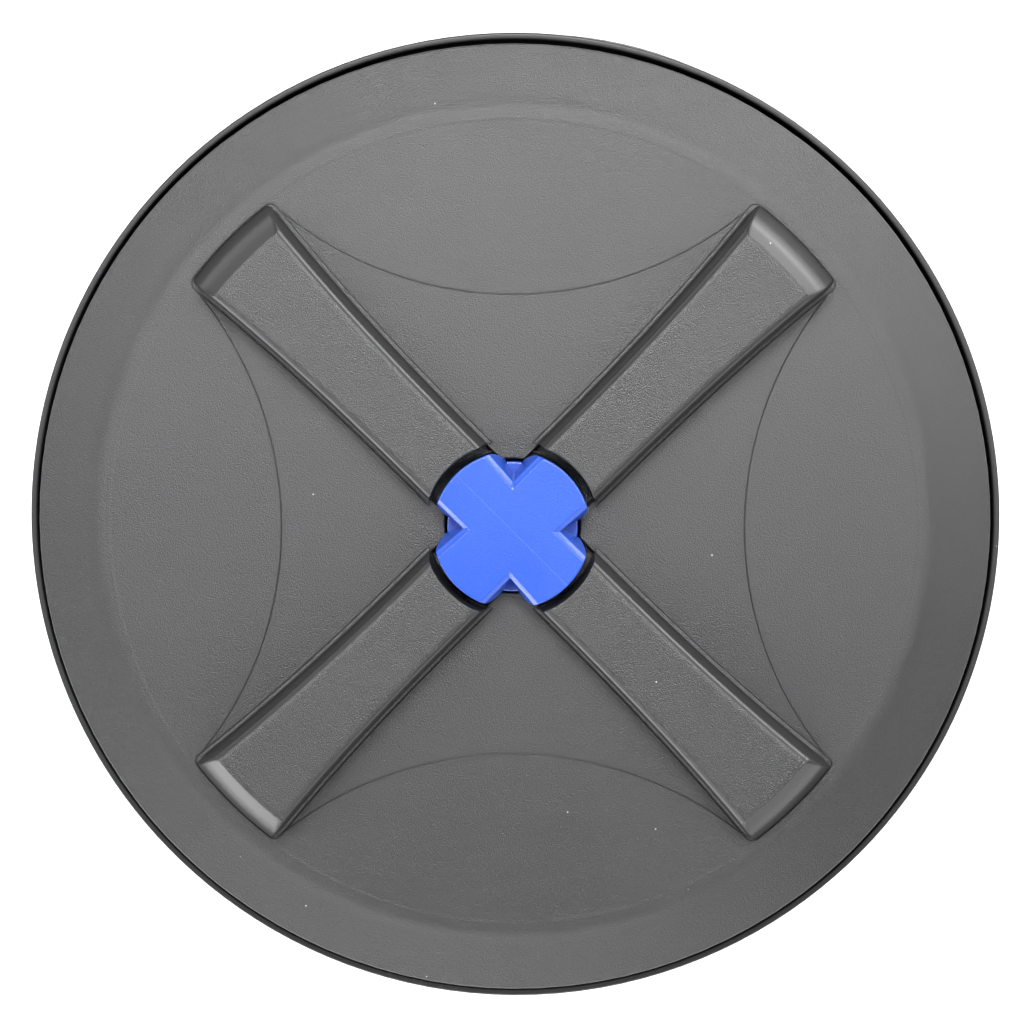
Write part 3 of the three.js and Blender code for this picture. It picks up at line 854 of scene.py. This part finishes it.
def lid_rows(size, outside, inside):
    """Every row of the lid as (radius, height, kind): kind 1 carries ribs, 2 their hollows, 0 neither.

    The rows over the ribs' ends, the crease and the inner ends lie closest together.
    """
    path = rounded(outside)
    split = int(np.argmax(path[:, 0] < size.rib_outer + 3 * MM))
    edge, bare = path[:split], path[split:]
    last = int(np.argmin(np.abs(bare[:, 0] - (size.well_radius + 1.3 * MM))))
    dome, well = bare[:last], bare[last:]
    end, start = size.rib_outer, size.rib_inner
    crown = end - RibShape(size).end_draft
    marks = [
        (end + 2.4 * MM, end - 1 * MM, 10),
        (end - 1 * MM, end - 8 * MM, 18),
        (end - 8 * MM, crown + 2 * MM, 10),
        (crown + 2 * MM, crown - 3 * MM, 12),
        (crown - 3 * MM, start + 4 * MM, 42),
        (start + 4 * MM, start - 1 * MM, 16),
        (start - 1 * MM, size.well_radius + 1.6 * MM, 8),
    ]
    radius = np.concatenate([np.linspace(high, low, count, endpoint=False) for high, low, count in marks])
    order = np.argsort(dome[:, 0])
    height = np.interp(radius, dome[order, 0], dome[order, 1])
    top = np.stack([radius, height], 1)
    under = rounded(inside)
    hollow = (under[:, 0] > size.well_radius + size.wall + 2 * MM) & (under[:, 0] < size.rib_outer + 1 * MM)
    hollow &= under[:, 1] > size.plateau - 16 * MM
    first, final = np.flatnonzero(hollow)[[0, -1]]
    spans = np.linspace(under[first, 0], under[final, 0], 56)
    plain = np.interp(spans, under[first:final + 1, 0], under[first:final + 1, 1])
    lower = np.stack([spans, plain], 1)
    rows = [(edge, 0), (top, 1), (well, 0), (under[:first], 0), (lower, 2), (under[final + 1:], 0)]
    points = np.concatenate([part for part, _ in rows])
    kind = np.concatenate([np.full(len(part), k) for part, k in rows])
    return points, kind


def full_turn(half):
    """A half sector's angles from a rib's axis, repeated and mirrored round all four ribs: (turn, off axis).
    """
    both = np.concatenate([-half[:, :0:-1], half[:, :-1]], 1)
    turns = [both + math.pi / 4 + quarter * math.pi / 2 for quarter in range(4)]
    return np.concatenate(turns, 1), np.tile(both, 4)


def lid_surface(size):
    """The lid's points, with a value at each: grain is 1 where the mould was textured and 0 on the ribs'
    walls.
    """
    outside, inside = lid_base(size)
    rows, kind = lid_rows(size, outside, inside)
    shapes = {1: RibShape(size), 2: RibShape(size, size.wall)}
    radius = rows[:, 0]
    halves = np.where((kind == 2)[:, None], shapes[2].columns(radius), shapes[1].columns(radius))
    turn, off_axis = full_turn(halves)
    spread = np.broadcast_to(radius[:, None], turn.shape)
    height = np.broadcast_to(rows[:, 1:2], turn.shape).copy()
    rise = np.zeros_like(height)
    for which, shape in shapes.items():
        picked = kind == which
        part = shape.share(spread[picked], off_axis[picked])
        height[picked] += part * (shape.top(spread[picked]) - height[picked])
        rise[picked] = part
    upper = (kind != 2) & (rows[:, 1] > size.plateau - 4 * MM) & (radius < size.rib_inner + 2 * MM)
    lower = (kind == 2) & (radius < size.rib_inner + 3 * MM)
    for picked, narrowed in ((upper, 3 * MM), (lower, 1 * MM)):
        pocket = shapes[1].pocket(spread[picked], off_axis[picked], narrowed)
        height[picked] -= size.pocket * pocket * (1 - rise[picked])
    crown = size.rib_outer - shapes[1].end_draft
    groove = np.exp(-(((spread - crown) / (0.8 * MM)) ** 2)) * (rise > 0.9) * (kind == 1)[:, None]
    height -= 0.2 * MM * groove
    grain = ((rise < 0.02) | (rise > 0.975)).astype(float)
    return around(spread, turn, height), {"grain": grain}


def arc_line(size):
    """One of the four moulding lines seen from above: an arc round a centre on +X, between two ribs' corners.

    The centre lies where the distance to the line's nearest point equals the distance to the ribs' corners.
    """
    corner = math.pi / 4 - math.asin((size.rib_half_outer - 0.6 * MM) / size.rib_outer)
    end = size.rib_outer - 0.35 * size.corner
    x, y = end * math.cos(corner), end * math.sin(corner)
    centre = (x * x + y * y - size.line_apex**2) / (2 * (x - size.line_apex))
    radius = centre - size.line_apex
    reach = math.asin(y / radius)
    swing = np.linspace(-reach, reach, 121)
    return np.stack([centre - radius * np.cos(swing), radius * np.sin(swing)], 1)


def foot_line(size):
    """The outline of one rib's foot seen from above, for the rib at 45 degrees: two sides, two corners, two
    ends.
    """
    shape, corner, out = RibShape(size), size.corner, 0.3 * MM
    along = np.linspace(size.rib_inner + 1 * MM, size.rib_outer - corner, 70)
    side = np.stack([along, shape.half_width(along) + out], 1)
    turn = np.linspace(0, math.pi / 2, 10)[1:]
    bend = size.rib_outer - corner + (corner + out) * np.sin(turn)
    bent = np.stack([bend, shape.half_width(bend) - corner + (corner + out) * np.cos(turn)], 1)
    cross = np.linspace(bent[-1, 1], 0, 24)[1:]
    end = np.stack([np.full_like(cross, size.rib_outer + out), cross], 1)
    half = np.concatenate([side, bent, end])
    radius = np.concatenate([half[:, 0], half[-2::-1, 0]])
    turn = np.arcsin(np.concatenate([half[:, 1], -half[-2::-1, 1]]) / radius)
    back = np.linspace(turn[-1], turn[0], 26)[1:-1]
    turn = np.concatenate([turn, back]) + math.pi / 4
    radius = np.concatenate([radius, np.full_like(back, radius[0])])
    return np.stack([radius * np.cos(turn), radius * np.sin(turn)], 1)


def bead(size, path, quarter, closed):
    """Points of a low rounded bead carried along a path on the dome, turned by quarters of a turn about the
    axis.

    An open bead shrinks to nothing over its last points, which closes it.
    """
    if closed:
        ahead = np.roll(path, -1, 0) - np.roll(path, 1, 0)
        full = np.ones(len(path))
    else:
        ahead = np.gradient(path, axis=0)
        full = np.clip(np.minimum(np.arange(len(path)), np.arange(len(path))[::-1]) / 3, 0, 1)
    ahead /= np.linalg.norm(ahead, axis=1)[:, None]
    side = np.stack([ahead[:, 1], -ahead[:, 0]], 1)
    across = np.array([1.0, 0.8, 0.45, 0, -0.45, -0.8, -1.0, -0.6, 0.6]) * size.line_width / 2
    up = np.array([0, 0.55, 0.92, 1, 0.92, 0.55, 0, -1, -1]) * size.line_height
    plan = path[:, None] + side[:, None] * (full[:, None] * across)[..., None]
    radius = np.linalg.norm(plan, axis=2)
    height = dome_height(size, radius) + up * full[:, None]
    c, s = round(math.cos(quarter * math.pi / 2)), round(math.sin(quarter * math.pi / 2))
    plan = plan @ np.array([[c, s], [-s, c]])
    return np.concatenate([plan, height[..., None]], 2)


class DRUM_OT_lid(bpy.types.Operator):
    """Make the lid: its domed top with four ribs, the cap's well, the skirt and the thread inside it"""

    bl_idname = "drum.lid"
    bl_label = "Lid"

    def execute(self, context):
        size = context.scene.drum_lid
        points, values = lid_surface(size)
        material = finish_named("lid plastic")
        new_piece("lid_shell", [(points, True, True)], material, "lid", "lid", values)
        skirt_inner = size.radius - size.wall
        ridges = thread(
            LID_THREAD_STARTS, 0.5, root=skirt_inner + 1.5 * MM,
            crest=skirt_inner - NECK_GAP + THREAD_CLEARANCE, bottom=size.bottom + 2 * MM, **LID_THREAD,
        )
        new_piece("lid_thread", ridges, finish_named("fitting plastic"), "lid")
        lines = [(bead(size, arc_line(size), quarter, False), False, True) for quarter in range(4)]
        lines += [(bead(size, foot_line(size), quarter, True), True, True) for quarter in range(4)]
        new_piece("lid_moulding_lines", lines, finish_named("fitting plastic"), "lid")
        return {"FINISHED"}


# ---- centre closure ----

def grip_outline(notch, half_angle, radius):
    """The grip seen from above: a circle with four V-shaped notches, their points towards the centre.

    A notch's walls leave its point at half_angle from the notch's own axis and meet the circle where
    reach^2 + 2 notch cos(half_angle) reach + notch^2 = radius^2.
    """
    along = notch * math.cos(half_angle)
    reach = math.sqrt(along**2 + radius**2 - notch**2) - along
    edge = math.asin(reach * math.sin(half_angle) / radius)
    swing = np.linspace(edge, math.pi / 2 - edge, 17)
    corners = [(notch, 0, 0.8 * MM)]
    for turn in swing:
        fillet = 0.9 * MM if turn in (swing[0], swing[-1]) else 0
        corners.append((radius * math.cos(turn), radius * math.sin(turn), fillet))
    whole = []
    for k in range(4):
        c, s = math.cos(k * math.pi / 2), math.sin(k * math.pi / 2)
        whole += [(x * c - y * s, x * s + y * c, f) for x, y, f in corners]
    return rounded(whole, steps=5, closed=True, support=10)


def grip_surface(size):
    """Points of the grip: level outlines joined from the top's centre over the bevel and down to the flange.

    Across the bevel only the notches' points move out. Below it the notches narrow and the lobes draw in.
    Underneath, the grip is hollow where the vent's turret stands in it.
    """
    base = size.plate + size.flange - 0.5 * MM
    rings = []
    for out in (-0.06, 0, 0.08, 0.2, 0.45, 0.75, 0.95, 1.0):
        depth = size.bevel_depth * max(out, 0) ** 1.15
        reach = size.grip_radius - 0.7 * MM * (1 - min(depth / (0.8 * MM), 1)) ** 2 - 0.3 * MM * (out < 0)
        rings.append((size.notch + size.bevel * out, size.notch_angle, reach, size.top - depth))
    high = size.top - size.bevel_depth
    for down in (0.04, 0.2, 0.4, 0.6, 0.8, 0.93, 1.0):
        point = size.notch + size.bevel + (0.2 + 1.5 * down + 0.5 * down**6) * MM
        half_angle = size.notch_angle + (size.foot_angle - size.notch_angle) * down**0.8
        reach = size.grip_radius - (size.grip_radius - size.grip_foot) * down**1.6
        rings.append((point, half_angle, reach, high + (base - high) * down))
    levels = []
    for point, half_angle, reach, height in rings:
        outline = grip_outline(point, half_angle, reach)
        levels.append(np.concatenate([outline, np.full((len(outline), 1), height)], 1))
    inward = [levels[0] * [s, s, 1] for s in (0, 0.3, 0.6, 0.85, 0.96)]
    bearing = levels[-1][:, :2] / np.linalg.norm(levels[-1][:, :2], axis=1)[:, None]
    hollow, ceiling = VENT_TURRET - 0.1 * MM, size.top - 4.1 * MM
    for reach, height in ((hollow, base), (hollow, ceiling), (0, ceiling)):
        levels.append(np.concatenate([bearing * reach, np.full((len(bearing), 1), height)], 1))
    points = np.stack([*inward, *levels])[::-1]
    c, s = math.cos(size.turn), math.sin(size.turn)
    return points @ np.array([[c, s, 0], [-s, c, 0], [0, 0, 1]])


def cap_shell(size):
    """Corners of the cap's flange, skirt and plate, with the vent's seat and chamber open below."""
    seat, chamber = 16 * MM, 12 * MM
    step, roof = size.plate + 6.1 * MM, size.top - 6 * MM
    top = size.plate + size.flange
    return [
        (0, roof, 0),
        (chamber, roof, 1 * MM),
        (chamber, step, 0.3 * MM),
        (seat, step, 0.3 * MM),
        (seat, size.plate, 0.4 * MM),
        (size.skirt_inner, size.plate, 1 * MM),
        (size.skirt_inner, size.bottom, 0.6 * MM),
        (size.skirt_outer, size.bottom, 0.8 * MM),
        (size.skirt_outer, size.plate - 1 * MM, 0.6 * MM),
        (size.flange_radius, size.plate, 0.6 * MM),
        (size.flange_radius, top, 0.9 * MM),
        (VENT_TURRET, top, 0),
        (VENT_TURRET, size.top - 4 * MM, 0),
        (0, size.top - 4 * MM, 0),
    ]


class DRUM_OT_cap(bpy.types.Operator):
    """Make the blue twist cap with its four-lobed grip and inner thread"""

    bl_idname = "drum.cap"
    bl_label = "Twist cap"

    def execute(self, context):
        size = context.scene.drum_cap
        shell = revolve(rounded(cap_shell(size), steps=5), 144)
        ridges = thread(
            CAP_THREAD_STARTS, 0.5, root=size.skirt_inner + 0.6 * MM, crest=size.tube + 1.4 * MM,
            bottom=size.bottom + 1.2 * MM, **CAP_THREAD,
        )
        shells = [(grip_surface(size), False, True), (shell, False, True), *ridges]
        new_piece("twist_cap_shell", shells, finish_named("cap plastic"), "cap", "twist_cap")
        return {"FINISHED"}


class DRUM_OT_neck(bpy.types.Operator):
    """Make the threaded neck in the lid's well and the nut that holds it"""

    bl_idname = "drum.neck"
    bl_label = "Neck fitting"

    def execute(self, context):
        cap = context.scene.drum_cap
        low, high = NECK_LOW.z, NECK_HIGH.z
        gasket_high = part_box("neck_gasket")[1].z
        flange = gasket_high + CLEARANCE
        reach = NECK_HIGH.x
        profile = rounded([
            (cap.bore, low, 1 * MM),
            (cap.tube, low, 1 * MM),
            (cap.tube, flange, 0.3 * MM),
            (reach, flange, 0.5 * MM),
            (reach, flange + 3.5 * MM, 1 * MM),
            (cap.tube, flange + 3.5 * MM, 1 * MM),
            (cap.tube, high, 0.8 * MM),
            (cap.bore, high, 0.8 * MM),
        ], steps=4, closed=True)
        ridges = thread(
            CAP_THREAD_STARTS, 0, root=cap.tube - 0.6 * MM, crest=cap.tube + 2.6 * MM,
            bottom=cap.bottom + 1.2 * MM, **CAP_THREAD,
        )
        plastic = finish_named("fitting plastic")
        shells = [(revolve(profile, 144), True, True), *ridges]
        new_piece("neck_tube", shells, plastic, "lid", "cap_neck")
        new_piece("locknut", [(self.nut(cap), True, True)], plastic, "lid", "neck_locknut")
        return {"FINISHED"}

    @staticmethod
    def nut(cap):
        """Points of an eight-sided nut: its outer radius at a turn is the flat's distance / cos(turn from
        the flat).
        """
        low, high = NUT_LOW.z, NUT_HIGH.z
        flat, bore = 38 * MM, cap.tube + CLEARANCE
        profile = rounded([
            (bore, low, 0.5 * MM), (flat, low, 1.2 * MM), (flat, high, 1.2 * MM), (bore, high, 0.5 * MM),
        ], steps=4, closed=True)
        turn = np.linspace(0, 2 * math.pi, 192, endpoint=False)
        off = (turn + math.pi / 8) % (math.pi / 4) - math.pi / 8
        side = np.minimum(1 / np.cos(off), 1.055)
        outer = (profile[:, :1] - cap.tube) / (flat - cap.tube)
        radius = profile[:, :1] * (1 + outer * (side - 1))
        return around(radius, turn + math.pi / 8, profile[:, 1:2])


def ring_profile(name, fillet):
    """A rectangular ring's section with rounded corners, from a CAD ring's box and its inner radius.

    A disc, which reaches the axis, has its section left open there.
    """
    low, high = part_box(name)
    co = np.array([v.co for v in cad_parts[name].data.vertices])
    inner = np.hypot(co[:, 0], co[:, 1]).min()
    outer = [(high.x, low.z, fillet), (high.x, high.z, fillet)]
    if inner < MM:
        return rounded([(0, low.z, 0), *outer, (0, high.z, 0)], 4)
    return rounded([(inner, low.z, fillet), *outer, (inner, high.z, fillet)], 4, closed=True)


class DRUM_OT_seals(bpy.types.Operator):
    """Make the three rubber seals, the vent membrane and its retainer"""

    bl_idname = "drum.seals"
    bl_label = "Seals and vent"

    def execute(self, context):
        rubber = finish_named("seal rubber")
        rings = [
            ("lid_seal", "lid_gasket", rubber, "lid_carrier", "seal", 1.2 * MM, 256),
            ("neck_seal", "neck_gasket", rubber, "lid", "seal", 0.5 * MM, 96),
            ("cap_seal", "cap_gasket", rubber, "cap_carrier", "seal", 0.8 * MM, 96),
            ("vent_film", "vent_membrane", finish_named("vent film"), "cap", "membrane", 0.2 * MM, 64),
            ("vent_ring", "vent_retainer", finish_named("cap plastic"), "cap", "cap", 0.5 * MM, 64),
        ]
        for name, cad, material, body, slot, fillet, columns in rings:
            profile = ring_profile(cad, fillet)
            new_piece(name, [(revolve(profile, columns), profile[0, 0] > 0, True)], material, body, cad)
        return {"FINISHED"}


# ---- stage ----

LIGHTS = (
    ("overhead", (0, 1.6, 3.7), (1.6, 0.8), 38),
    ("overhead front", (0, -1.8, 3.6), (1.6, 0.8), 2),
    ("overhead right", (1.2, 0.3, 3.8), (0.7, 1.2), 9.5),
    ("overhead left", (-1.2, 0.3, 3.8), (0.7, 1.2), 7.5),
    ("side right", (2.6, 0.3, 3.0), (1.2, 1.8), 6.7),
    ("side left", (-2.6, 0.3, 3.0), (1.2, 1.8), 7.8),
    ("low front", (0, -3.4, 2.2), (2.4, 1.2), 10),
    ("low front left", (-2.6, -2.6, 1.1), (2.0, 1.4), 8.3),
    ("low back right", (2.6, 2.6, 1.1), (2.0, 1.4), 10.8),
    ("low front right", (2.6, -2.6, 1.1), (2.0, 1.4), 2.6),
    ("low back left", (-2.6, 2.6, 1.1), (2.0, 1.4), 2.2),
)
LIGHT_AIM = Vector((0, 0, 0.92))
WORLD_GLOW = 0.05
FLOOR_GLOW = 0.4


def area_light(name, place, sides, glow):
    """A soft rectangular light turned to face the lid, unseen by the camera.

    Its power is glow (the radiance of its face) x its area x pi.
    """
    lamp = bpy.data.lights.new(name, "AREA")
    lamp.shape, lamp.size, lamp.size_y = "RECTANGLE", *sides
    lamp.energy = glow * sides[0] * sides[1] * math.pi
    light = bpy.data.objects.new(name, lamp)
    light.location = place
    light.rotation_euler = (LIGHT_AIM - Vector(place)).to_track_quat("-Z", "Y").to_euler()
    light.visible_camera = False
    bpy.context.scene.collection.objects.link(light)


def floor_plane(size):
    """A pale square floor, its middle under the drum."""
    mesh = bpy.data.meshes.new("floor")
    half = size / 2
    corners = [(-half, -half, 0), (half, -half, 0), (half, half, 0), (-half, half, 0)]
    mesh.from_pydata(corners, [], [(0, 1, 2, 3)])
    material = bpy.data.materials.new("pale floor")
    material.use_nodes = True
    shader = next(n for n in material.node_tree.nodes if n.type == "BSDF_PRINCIPLED")
    shader.inputs["Base Color"].default_value = (0.9, 0.9, 0.9, 1)
    shader.inputs["Roughness"].default_value = 0.9
    shader.inputs["Emission Color"].default_value = (1, 1, 1, 1)
    shader.inputs["Emission Strength"].default_value = FLOOR_GLOW
    mesh.materials.append(material)
    floor = bpy.data.objects.new("floor", mesh)
    bpy.context.scene.collection.objects.link(floor)


class DRUM_OT_stage(bpy.types.Operator):
    """Make the camera, the pale floor and the soft studio light"""

    bl_idname = "drum.stage"
    bl_label = "Stage"

    def execute(self, context):
        scene, size = context.scene, context.scene.drum_stage
        tilt = math.hypot(size.tilt_x, size.tilt_y)
        out = Vector((size.tilt_x / tilt, size.tilt_y / tilt)) * math.sin(tilt)
        back = Vector((out.x, out.y, math.cos(tilt)))
        aim = Vector((0, size.aim_y, scene.drum_barrel.collar_top))
        data = bpy.data.cameras.new("camera")
        data.sensor_width, data.lens = 36, size.lens
        data.clip_start, data.clip_end = 0.05, 100
        camera = bpy.data.objects.new("camera", data)
        camera.location = aim + back * size.distance
        side = Vector((0, 1, 0)).cross(back).normalized()
        up = back.cross(side)
        camera.rotation_euler = Matrix((side, up, back)).transposed().to_euler()
        scene.collection.objects.link(camera)
        scene.camera = camera
        floor_plane(size.floor)
        world = bpy.data.worlds.new("studio")
        world.use_nodes = True
        background = next(n for n in world.node_tree.nodes if n.type == "BACKGROUND")
        background.inputs["Color"].default_value = (1, 1, 1, 1)
        background.inputs["Strength"].default_value = WORLD_GLOW
        scene.world = world
        scene.view_settings.view_transform = "Standard"
        for name, place, sides, glow in LIGHTS:
            area_light(name, place, sides, glow)
        return {"FINISHED"}


# ---- panel ----

class DRUM_PT_panel(bpy.types.Panel):
    """Lists the drum's pieces, in the order they are made, with their sizes"""

    bl_idname = "DRUM_PT_panel"
    bl_label = "Screw-lid drum"
    bl_space_type = "VIEW_3D"
    bl_region_type = "UI"
    bl_category = "Drum"

    def draw(self, context):
        for operator in OPERATORS:
            self.layout.operator(operator.bl_idname)
        for key, group in GROUPS.items():
            box = self.layout.box()
            for name in group.__annotations__:
                box.prop(getattr(context.scene, key), name)


OPERATORS = (DRUM_OT_stage, DRUM_OT_barrel, DRUM_OT_lid, DRUM_OT_neck, DRUM_OT_cap, DRUM_OT_seals)


def register():
    """Registers every class and hangs each group of sizes on the scene."""
    for group in GROUPS.values():
        bpy.utils.register_class(group)
    for operator in OPERATORS:
        bpy.utils.register_class(operator)
    bpy.utils.register_class(DRUM_PT_panel)
    for key, group in GROUPS.items():
        setattr(bpy.types.Scene, key, bpy.props.PointerProperty(type=group))


def unregister():
    """Takes the groups off the scene and unregisters every class."""
    for key in GROUPS:
        delattr(bpy.types.Scene, key)
    bpy.utils.unregister_class(DRUM_PT_panel)
    for made in (*OPERATORS, *GROUPS.values()):
        bpy.utils.unregister_class(made)


def main():
    """Makes everything in order."""
    register()
    bpy.ops.drum.stage()
    bpy.ops.drum.barrel()
    bpy.ops.drum.lid()
    bpy.ops.drum.neck()
    bpy.ops.drum.cap()
    bpy.ops.drum.seals()
    bpy.context.view_layer.update()


if __name__ == "__main__":
    main()
